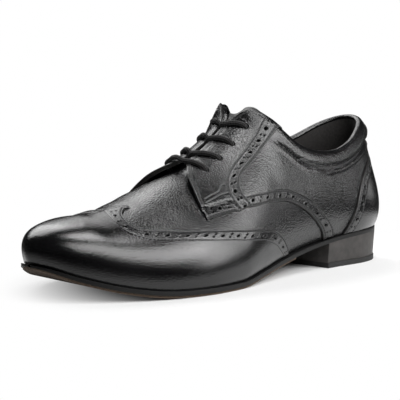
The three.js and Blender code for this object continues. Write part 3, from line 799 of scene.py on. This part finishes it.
wing_sheet = join([toe_sheet("wing_low", wing_rows), toe_sheet("wing_peak", peak_rows)], "wing_sheet")
weld(wing_sheet)
give_wall(wing_sheet, cover_wall)
wing_bands = []
for side in (1, -1):
    wing_bands.append(stitched_band("wing_band", wing_edge + peak_edges[side],
                                    wing_stitch + peak_stitches[side], side, 0))
wing_point = stitched_band("wing_point", point_edge, beside(point_edge, 2.0, (11, 0.95)), 1, 0.02,
                           holes=False, rows=(first_row,))
wing_cap = join([wing_sheet, *wing_bands, wing_point], "wing_cap_leather")
wing_cap.data.materials.append(calf)
smooth(wing_cap)
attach(wing_cap, "root")
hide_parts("wing_cap")


# Quarters: a left and a right piece of calf that close at the heel, lie over the vamp and end
# in free flaps at the throat. A padded collar bulges under their top line.
quarter_edge = [
    (4.45, 0), (4.60, 0.119), (4.88, 0.250), (5.20, 0.344), (5.53, 0.381), (5.88, 0.394),
    (6.60, 0.388), (7.25, 0.406), (7.75, 0.463), (8.10, 0.494), (8.45, 0.506), (8.78, 0.506),
]
quarter_stitch = [
    (4.12, 0), (4.22, 0.085), (4.45, 0.225), (4.75, 0.350), (5.05, 0.425), (5.38, 0.450),
    (5.75, 0.450), (6.23, 0.444), (6.85, 0.438), (7.33, 0.468), (7.75, 0.520), (8.15, 0.566),
    (8.50, 0.583), (8.79, 0.585),
]
flap_edge = [
    (7.95, 0.972), (8.08, 0.965), (8.2, 0.945), (8.35, 0.906), (8.6, 0.812), (8.7, 0.731),
    (8.78, 0.644), (8.80, 0.52),
]
collar_seam = [
    (0, 0.860), (1.5, 0.850), (2.5, 0.838), (3.3, 0.831), (4.0, 0.825), (4.7, 0.812),
    (5.3, 0.768), (5.9, 0.760),
]
narrow_band = 1.9
collar_padding = 1.9
seam_trough = 0.3
seam_fold = 0.5
flap_inset = 0.8
flap_lift = 2.6
slit_half = 2.2


def flap_rise(station, level):
    return flap_lift * ramp(folded(station), 7.3, 8.2) * ramp(level, 0.58, 0.86)


def quarter_rise(station, level):
    """The flap's lift, the padded collar, and under it the seam's trough with a fold below."""
    place = folded(station)
    seam = np.interp(place, *zip(*collar_seam))
    inside = np.clip((level - seam) / (1 - seam), 0, 1)
    padded = collar_padding * np.sin(math.pi * inside)**0.7
    trough = seam_trough * np.exp(-((level - seam) / 0.012)**2)
    fold = seam_fold * np.exp(-((level - seam + 0.035) / 0.02)**2)
    return flap_rise(station, level) + (padded - trough + fold) * (1 - ramp(place, 5.5, 6.2))


quarter_hem = beside(quarter_stitch, sheet_hem, (5.4, 0.7))
flap_front = beside(flap_edge, flap_inset, (6.5, 0.7))
flap_stitch = beside(flap_edge, narrow_band, (6.5, 0.7))
flap_hem = beside(flap_edge, narrow_band + sheet_hem, (6.5, 0.7))
seam_line = collar_seam[2:-1]
seam_inner = beside(seam_line, 0.9, (4, 0.95))


def quarter_top(station):
    slit = throat_top(station, slit_half)
    front = read_line(flap_hem[2:], 0, station)
    return np.where(station > flap_hem[2, 0], np.minimum(front, slit), slit)


quarter_places = stations_by_length(0.02, float(flap_hem[-1, 0]), sheet_step)
quarter_lows = np.where(quarter_places < quarter_hem[0, 0], 0, read_line(quarter_hem, 0, quarter_places))
quarter_tops = np.maximum(quarter_top(quarter_places), quarter_lows + 0.01)
quarter_shares = np.concatenate([np.linspace(0, 0.68, 24)[:-1], np.linspace(0.68, 1, 44)])
quarter_levels = quarter_lows[:, None] + (quarter_tops - quarter_lows)[:, None] * quarter_shares[None, :]

for side, name in ((1, "outer"), (-1, "inner")):
    stations = on_side(np.broadcast_to(quarter_places[:, None], quarter_levels.shape), side)
    quarter_points = above(stations, quarter_levels, quarter_rise(stations, quarter_levels))
    sheet = lay_grid("quarter_sheet", quarter_points[::side])
    give_wall(sheet, cover_wall)
    punch_eyelets(sheet, (side,))
    band = stitched_band("quarter_band", quarter_edge, quarter_stitch, side, 0, lift=flap_rise)
    flap = stitched_band("flap_band", flap_front, flap_stitch, side, -0.1,
                         holes=False, rows=(), lift=flap_rise, eased=0.1)
    seam = stitched_band("collar_seam", seam_line, seam_inner, side, 0.02,
                         holes=False, rows=(0.45,), lift=quarter_rise, eased=0)
    quarter = join([sheet, band, flap, seam], f"quarter_leather_{name}")
    quarter.data.materials.append(grained_calf)
    smooth(quarter)
    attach(quarter, "root")
    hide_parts(f"quarter_{name}")


# Collar binding: a thin fold of calf that closes the top line over quarters and lining, from
# one facing round the heel to the other.
binding_half_width = 2.15
binding_half_height = 1.5
binding_end = 6.12
binding_sink = -1.75
binding_drop = 0.5


def lay_tube(name, path, half_width, half_height, sides=12, across=None):
    """A closed tube along a path. Across gives each point's sideways direction, or it is carried
    along the path."""
    forward = np.gradient(path, axis=0)
    forward /= np.linalg.norm(forward, axis=1, keepdims=True)
    if across is None:
        start = np.cross(forward[0], (0, 0, 1))
        across = [start / np.linalg.norm(start)]
        for direction in forward[1:]:
            carried = across[-1] - direction * np.dot(across[-1], direction)
            across.append(carried / np.linalg.norm(carried))
        across = np.array(across)
    else:
        across = across - forward * np.sum(across * forward, 1, keepdims=True)
        across = across / np.linalg.norm(across, axis=1, keepdims=True)
    upright = np.cross(across, forward)
    turn = np.linspace(0, 2 * math.pi, sides + 1)
    turn[-1] = 0
    rings = (path[:, None] + across[:, None] * np.cos(turn)[None, :, None] * half_width
             + upright[:, None] * np.sin(turn)[None, :, None] * half_height)
    tube = lay_grid(name, with_ends(rings))
    weld(tube, outward=True)
    return tube


binding_stations = round_heel(stations_by_length(0, binding_end, sheet_step, level=1))
binding_path = above(binding_stations, 1, binding_sink)
binding_path[:, 2] -= binding_drop
binding = lay_tube("collar_binding", binding_path, binding_half_width, binding_half_height,
                   sides=14, across=last_normal(binding_stations, 1) * (1, 1, 0.4))
binding.data.materials.append(grained_calf)
smooth(binding, 60)
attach(binding, "root")


# Facings: an extra layer of calf on each flap for the eyelets. A stitched row runs along its
# front edge, and a band of punched holes along its curved rear edge.
facing_rear = [
    (5.52, 0.995), (5.62, 0.935), (5.95, 0.781), (6.60, 0.669), (7.12, 0.631), (7.43, 0.628),
    (7.60, 0.612), (7.68, 0.575), (7.68, 0.531), (7.62, 0.490), (7.57, 0.455),
]
facing_stitch = [
    (5.78, 0.995), (5.93, 0.920), (6.35, 0.795), (6.98, 0.712), (7.35, 0.694), (7.60, 0.690),
    (7.75, 0.680), (7.88, 0.650), (7.95, 0.594), (7.93, 0.510), (7.88, 0.475),
]
facing_front = [
    (5.50, 0.993), (5.75, 0.997), (6.05, 0.997), (6.30, 0.996), (6.55, 0.990), (6.85, 0.983),
    (7.15, 0.970), (7.6, 0.968), (7.95, 0.970), (8.10, 0.962), (8.2, 0.942), (8.35, 0.903),
    (8.6, 0.808), (8.70, 0.728), (8.77, 0.642), (8.79, 0.598),
]
facing_foot = [(7.93, 0.545), (8.15, 0.572), (8.50, 0.588), (8.78, 0.590)]
bar_tacks = [
    [(8.66, 0.634), (8.45, 0.642), (8.2, 0.644), (8.05, 0.664), (7.97, 0.655)],
    [(8.68, 0.608), (8.45, 0.616), (8.2, 0.616), (8.0, 0.604)],
]
tack_radius = 0.5
tack_lift = 0.35
facing_height = 1.15
facing_wall = 1.1
eyestay_pitch = 9.4


def facing_rise(station, level):
    """The facing lies on the quarter and thins out to nothing along its foot."""
    place = folded(station)
    foot = np.interp(place, *zip(*facing_foot))
    thinned = 1 - ramp(level, foot - 0.03, foot + 0.012)
    corner = 0.75 * ramp(level, 0.93, 1) * (1 - ramp(place, 5.8, 6.1))
    under_band = (facing_height + 0.7) * thinned * ramp(place, 7.86, 8.02)
    return quarter_rise(station, level) - corner - under_band


facing_rear_hem = beside(facing_stitch, sheet_hem, (7.3, 0.85))
facing_front_stitch = beside(facing_front, narrow_band, (7.0, 0.8))
facing_front_hem = beside(facing_front, narrow_band + sheet_hem, (7.0, 0.8))
rear_line = smooth_line(facing_rear_hem, 90)[0]
front_line = smooth_line(facing_front_hem[facing_front_hem[:, 0] > 6.4], 90)[0]
facing_shares = np.linspace(0, 1, 30)[None, :, None]
facing_spots = rear_line[:, None] * (1 - facing_shares) + front_line[:, None] * facing_shares

for side, name in ((1, "outer"), (-1, "inner")):
    stations = on_side(facing_spots[..., 0], side)
    levels = np.clip(facing_spots[..., 1], 0, 1)
    facing_points = above(stations, levels, facing_height + facing_rise(stations, levels))
    sheet = lay_grid("facing_sheet", facing_points[::side])
    give_wall(sheet, facing_wall)
    punch_eyelets(sheet, (side,))
    band = stitched_band("facing_band", facing_rear, facing_stitch, side, facing_height,
                         lift=facing_rise, wall=facing_wall, pitch=eyestay_pitch)
    # Its stitch groove carries half the painted shade.
    front = stitched_band("facing_edge", facing_front, facing_front_stitch, side, facing_height,
                          holes=False, rows=(1.5,), lift=facing_rise, wall=facing_wall,
                          eased=0.1, sunk=0.14, dark=0.5)
    tacks = []
    for tack_line in bar_tacks:
        tack_spots = smooth_line(tack_line, 24)[0]
        tack_stations, tack_levels = on_side(tack_spots[:, 0], side), tack_spots[:, 1]
        tack_height = facing_height + tack_lift + quarter_rise(tack_stations, tack_levels)
        tack = lay_tube("bar_tack", above(tack_stations, tack_levels, tack_height),
                        tack_radius, tack_radius, sides=8)
        # The tack is marked as thread, lightened as a painted highlight.
        mark_points(tack, "thread_and_highlight", np.ones(len(tack.data.vertices)))
        tacks.append(tack)
    facing = join([sheet, band, front, *tacks], f"facing_leather_{name}")
    facing.data.materials.append(grained_calf)
    smooth(facing)
    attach(facing, "root")
    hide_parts(f"facing_{name}")


# Counter: a calf piece round the back of the heel that narrows to a strip up to the collar,
# with a row of punched holes along its front edges.
counter_edge = [
    (3.80, 0), (3.65, 0.163), (3.45, 0.312), (3.33, 0.419), (3.10, 0.544), (2.60, 0.656),
    (1.95, 0.700), (1.45, 0.735),
]
counter_stitch = [
    (3.52, 0), (3.45, 0.069), (3.28, 0.215), (3.14, 0.338), (2.93, 0.465), (2.50, 0.582),
    (1.95, 0.625), (1.45, 0.655),
]
strip_edge = [(1.42, 0.700), (1.40, 0.85), (1.38, 0.99)]
counter_height = 1.15


def counter_rise(station, level):
    """The strip up the back thins out under the collar binding."""
    return quarter_rise(station, level) - 0.85 * ramp(level, 0.93, 0.99)


counter_hem = beside(counter_stitch, sheet_hem, (1.5, 0.3))
strip_stitch = beside(strip_edge, narrow_band, (0.5, 0.9))
strip_hem = beside(strip_edge, narrow_band + sheet_hem, (0.5, 0.9))
strip_station = float(strip_hem[:, 0].min())
counter_half = stations_by_length(0, float(counter_hem[0, 0]), 1.8)
counter_stations = round_heel(np.sort(np.append(counter_half, strip_station)))
counter_place = folded(counter_stations)
counter_top = read_line(counter_hem, 0, counter_place)
counter_levels = np.linspace(0, 1, 30)[None, :] * np.maximum(counter_top, 0.005)[:, None]
strip_stations = counter_stations[counter_place <= strip_station]
strip_levels = np.linspace(counter_top.max(), strip_edge[-1][1], 18)[None, :]
counter_sheets = []
for places, levels in ((counter_stations, counter_levels), (strip_stations, strip_levels)):
    columns = places[:, None]
    sheet_points = above(columns, levels, counter_height + counter_rise(columns, levels))
    counter_sheets.append(lay_grid("counter_sheet", sheet_points))
counter_sheet = join(counter_sheets, "counter_sheet")
weld(counter_sheet)
give_wall(counter_sheet, facing_wall)
counter_bands = []
for side in (1, -1):
    counter_bands.append(stitched_band("counter_band", counter_edge, counter_stitch, side, counter_height,
                                       lift=counter_rise, wall=facing_wall))
    counter_bands.append(stitched_band("strip_band", strip_edge, strip_stitch, side, counter_height,
                                       holes=False, rows=(first_row,), lift=counter_rise,
                                       wall=facing_wall))
counter = join([counter_sheet, *counter_bands], "counter_leather")
counter.data.materials.append(calf)
smooth(counter)
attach(counter, "root")
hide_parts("counter")


# Tongue: a soft flap of calf under the facings, arched over the instep, that stands a little
# above the top line.
tongue_rows = [
    # station, level of its side edge, level where its arch springs
    (8.6, 0.80, 0.93), (8.0, 0.76, 0.92), (7.4, 0.74, 0.90), (6.9, 0.74, 0.90),
    (6.5, 0.76, 0.91), (6.1, 0.80, 0.94), (5.75, 0.87, 0.97), (5.45, 0.94, 1.00),
]
tongue_reach = 61.0
tongue_crest = 1.5
tongue_depth = -6.4
tongue_wall = 2.0

ridge_foot = last_face(ridge_station, 1)
instep_line = last_face(ridge_station - 1, 1) - ridge_foot
instep_line[1] = 0
instep_line /= np.linalg.norm(instep_line)
tongue_lift = np.array([instep_line[2], 0, -instep_line[0]])


def cubic(a, b, c, d, t):
    t = t[:, None]
    return (1 - t)**3 * a + 3 * (1 - t)**2 * t * b + 3 * (1 - t) * t**2 * c + t**3 * d


tongue_columns = []
tongue_top = tongue_rows[-1][0]
tongue_places = np.linspace(0, 1, len(tongue_rows))
for share in np.linspace(0, 1, 40):
    station, edge, spring = smooth_values(tongue_places, tongue_rows, np.array([share]))[0]
    spring = min(spring, 1.0)
    if station >= ridge_station:
        crown = above(station, 1, tongue_depth)
    else:
        reach = tongue_reach * (ridge_station - station) / (ridge_station - tongue_top)
        crown = (ridge_foot + instep_line * reach
                 + tongue_lift * (tongue_depth + tongue_crest * ramp(share, 0.4, 1)))
    halves = []
    for side in (1, -1):
        here = on_side(station, side)
        foot = above(here, spring, tongue_depth)
        before = above(here, spring - 0.02, tongue_depth)
        reach = np.linalg.norm(foot - crown) * 0.4
        handle = foot + (foot - before) / np.linalg.norm(foot - before) * reach
        crest = crown + np.array([0, side * reach, 0])
        arch = cubic(foot, handle, crest, crown, np.linspace(0, 1, 14))
        flank = above(here, np.linspace(edge, spring, 8), tongue_depth)
        halves.append(np.concatenate([flank, arch[1:]]))
    tongue_columns.append(np.concatenate([halves[0], halves[1][-2::-1]]))
tongue = lay_grid("tongue_leather", np.array(tongue_columns)[::-1])
tongue_calf = black_leather("soft_black_calf", (0.012, 0.012, 0.012), 0.5, 0.55, 800, 0.05)
tongue.data.materials.append(tongue_calf)
tongue.data.materials.append(lining)
use_modifier(tongue, "SOLIDIFY", thickness=tongue_wall / 1000, offset=-1, use_even_offset=True,
             material_offset=1)
ease_edges(tongue, 0.8, 3)
smooth(tongue, 50)
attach(tongue, "root")
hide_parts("tongue")


# Lace: one round braided cotton lace. It lies straight over the lowest eyelets, crosses in the
# slit between each pair, and its ends are tucked inside at the top eyelets.
lace_radius = 1.5
lace_over = facing_height + lace_radius - 0.45
lace_under = shell_face - shell_wall - lace_radius - 0.05
cross_stations = [6.97, 7.42, 7.86]
bar_station = 8.17
corner_reach = 2.2
lace_step = 0.4
inner_slack = 1.8
cross_depth = 0.9
braid_pitch = 1.9
braid_strands = 4


def on_flap(station, side, level, height):
    here = on_side(station, side)
    return above(here, level, height + flap_rise(here, level))


def slit_level(station, side, short=0.0):
    return float(level_short_of_ridge(on_side(station, side), slit_half + short))


def into_eyelet(pair, side, from_station):
    """The lace's way from the slit over one flap and down through an eyelet."""
    station, level = eyelets[pair]
    edge = slit_level(from_station, side)
    loose = 0 if side > 0 else inner_slack
    points = [on_flap(from_station, side, edge, lace_over - 0.2 + loose)]
    for share, arch in ((0.3, 0.1 + 0.6 * loose), (0.6, 0.0), (0.88, -0.2)):
        points.append(on_flap(from_station + (station - from_station) * share, side,
                              edge + (level - edge) * share, lace_over + arch))
    return points + [on_flap(station, side, level, 0.6), on_flap(station, side, level, lace_under)]


def strand(side):
    """The lace from the slit at its bar up to its hidden end, crossing itself at each pair."""
    points = into_eyelet(3, side, bar_station)
    for pair in (2, 1, 0):
        lower_station = eyelets[pair + 1][0]
        cross = cross_stations[pair]
        points.append(on_flap((lower_station + cross) / 2, side, slit_level(cross, side, 3.0), lace_under))
        middle = sum(on_flap(cross, k, slit_level(cross, k), 0) for k in (1, -1)) / 2
        upright = last_normal(cross, 0.97) * (1, 0, 1)
        points.append(middle + upright * (-cross_depth if side > 0 else cross_depth + lace_radius))
        side = -side
        points += into_eyelet(pair, side, cross - 0.02)
    station, level = eyelets[0]
    points.append(on_flap(station - 0.1, side, level - 0.05, lace_under - 0.3))
    return points


def rounded_path(spots, reach, step):
    """A path through spots in even steps, its corners rounded over a reach."""
    spots = np.array(spots)
    length = np.concatenate([[0], np.cumsum(np.linalg.norm(np.diff(spots, axis=0), axis=1))])
    even = np.linspace(0, length[-1], int(length[-1] / step) + 1)
    path = np.stack([np.interp(even, length, spots[:, k]) for k in range(3)], -1)
    half = max(1, int(reach / step / 2))
    for turn in range(3):
        padded = np.concatenate([np.repeat(path[:1], half, 0), path, np.repeat(path[-1:], half, 0)])
        sums = np.cumsum(np.concatenate([np.zeros((1, 3)), padded]), axis=0)
        path = (sums[2 * half + 1:] - sums[:-2 * half - 1]) / (2 * half + 1)
    return path


lace_spots = strand(1)[::-1] + strand(-1)
lace_path = rounded_path(lace_spots, corner_reach, lace_step)
lace_length = np.linalg.norm(np.diff(lace_path, axis=0), axis=1).sum()
lace = lay_tube("lace", lace_path, lace_radius, lace_radius * 0.9, sides=14)
cotton, tree, surface = new_material("braided_black_cotton")
unwrapped = add_node(tree, "ShaderNodeUVMap", {})
round_lace = add_node(tree, "ShaderNodeSeparateXYZ", {"Vector": unwrapped}, "X")
along_lace = add_node(tree, "ShaderNodeMath", {
    0: round_lace.node.outputs["Y"], 1: 2 * math.pi * lace_length / braid_pitch}, operation="MULTIPLY")
braid_waves = []
for lean in (braid_strands, -braid_strands):
    leaning = add_node(tree, "ShaderNodeMath", {
        0: round_lace, 1: 2 * math.pi * lean, 2: along_lace}, operation="MULTIPLY_ADD")
    braid_waves.append(add_node(tree, "ShaderNodeMath", {0: leaning}, operation="SINE"))
braid = add_node(tree, "ShaderNodeMath", {
    0: braid_waves[0], 1: braid_waves[1], 2: 0.5}, operation="MULTIPLY_ADD")
set_inputs(tree, surface, {
    "Base Color": tone_ramp(tree, braid, 0.1, (0.004, 0.004, 0.004), 0.9, (0.024, 0.023, 0.023)),
    "Roughness": 0.8,
    "Specular IOR Level": 0.25,
    "Sheen Weight": 0.08,
    "Sheen Roughness": 0.5,
})
give_relief(tree, surface, braid, 0.8, 0.0003)
lace.data.materials.append(cotton)
smooth(lace, 60)
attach(lace, "root")
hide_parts("lace_bar", "lace_cross_1", "lace_cross_2", "lace_cross_3")


# Insole: the sock inside, a dark padded board cut to the last's own outline.
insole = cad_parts["insole"]
sock = plain_finish("dark_sock", (0.022, 0.021, 0.02), 0.8, 700, 0.0002)
insole.data.materials.clear()
insole.data.materials.append(sock)


# Sole and heel: a thin black-edged sole all along, tan suede under the forepart for the dance
# floor, and a low stacked heel block with a straight breast on a black rubber top piece.
seat_gap = 0.05
sole_thickness = 2.3
suede_thickness = 1.3
sole_edge = 1.6
suede_inset = 0.9
heel_length = 66.0
heel_taper = 0.8
top_piece_thickness = 3.0
top_piece_edge = 0.5
suede_start = 5.5
sole_overlap = 0.15
toe_thinning = 0.45
thinning_start = 11.5


def sole_line_z(station):
    """Heights of the sole line on the outer side and on the inner side."""
    heights = [rib_at(here)[0][..., 2] for here in (station, other_side(station))]
    return np.maximum(np.stack(heights, -1), sole_stack)


def sole_layer(name, stations, top_edge, bottom_edge, top_z, bottom_z, round_off):
    """A layer of the sole between two heights, its edges following the last's sole line."""

    def outline(side, edge):
        value, slope = rib_at(on_side(stations, side))
        return value[..., 0:2] + foot_normal(slope)[..., 0:2] * edge

    across = np.linspace(0, 1, 15)
    top_outer, top_inner = outline(1, top_edge), outline(-1, top_edge)
    bottom_outer, bottom_inner = outline(1, bottom_edge), outline(-1, bottom_edge)
    rings = []
    for k in range(len(stations)):
        over = top_inner[k] + (top_outer[k] - top_inner[k]) * across[:, None]
        under = bottom_outer[k] + (bottom_inner[k] - bottom_outer[k]) * across[:, None]
        over_z = top_z[k, 1] + (top_z[k, 0] - top_z[k, 1]) * across[:, None]
        under_z = bottom_z[k, 0] + (bottom_z[k, 1] - bottom_z[k, 0]) * across[:, None]
        over = np.concatenate([over, over_z], 1)
        under = np.concatenate([under, under_z], 1)
        rings.append(np.concatenate([over, under, over[:1]], 0))
    layer = lay_grid(name, with_ends(np.array(rings)))
    weld(layer, outward=True)
    ease_edges(layer, round_off, 3, 48)
    smooth(layer, 45)
    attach(layer, "root")
    return layer


def station_at_x(x):
    fine = np.linspace(0, toe_station, 2000)
    return float(np.interp(x, rib_at(fine)[0][..., 0], fine))


def by_outline(low, high):
    return stations_by_length(low, high, sheet_step, level=0)


def thinned(stations):
    """The share of its thickness that the sole keeps toward the toe."""
    return 1 - toe_thinning * ramp(stations, thinning_start, toe_station)[:, None]


def sole_faces(stations):
    """The heights of the sole's upper face and of its lower face."""
    top = sole_line_z(stations) - sole_overlap
    return top, top - sole_thickness * thinned(stations)


breast = station_at_x(last_feet[0][0] * last_length + heel_length)
sole_stations = by_outline(0, toe_station)
outsole = sole_layer("outsole_edge", sole_stations, sole_edge, sole_edge, *sole_faces(sole_stations), 0.5)
sole_leather = plain_finish("black_dressed_edge", (0.004, 0.004, 0.004), 0.5, 400, 0.0001, shine=0.3)
outsole.data.materials.append(sole_leather)
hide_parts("outsole")

suede_stations = by_outline(suede_start, toe_station)
suede_top = sole_faces(suede_stations)[1] - seat_gap
suede_bottom = np.maximum(suede_top - suede_thickness * thinned(suede_stations), 0)
suede_edge = sole_edge - suede_inset
suede_sole = sole_layer("suede_sole_nap", suede_stations, suede_edge, suede_edge,
                        suede_top, suede_bottom, 0.3)
suede_nap = plain_finish("dark_tan_suede", (0.075, 0.052, 0.036), 0.95, 1500, 0.0004, 0.45)
suede_sole.data.materials.append(suede_nap)
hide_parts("suede_sole")

heel_stations = by_outline(0, breast)
heel_top = sole_faces(heel_stations)[1] - seat_gap
heel_floor = np.full(heel_top.shape, top_piece_thickness + seat_gap)
heel_block = sole_layer("heel_stack", heel_stations, sole_edge, sole_edge - heel_taper,
                        heel_top, heel_floor, 0.4)
heel_stack = plain_finish("grey_brown_stack", (0.03, 0.027, 0.025), 0.55, 260, 0.0002, 0.3)
heel_block.data.materials.append(heel_stack)
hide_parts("heel_block")

lift_edge = sole_edge - heel_taper + top_piece_edge
lift_top = np.full(heel_top.shape, top_piece_thickness)
top_piece = sole_layer("heel_top_lift", heel_stations, lift_edge, lift_edge, lift_top, 0 * lift_top, 0.5)
lift_rubber = plain_finish("black_rubber_lift", (0.005, 0.005, 0.005), 0.65, 600, 0.0002)
top_piece.data.materials.append(lift_rubber)
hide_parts("heel_top_piece")
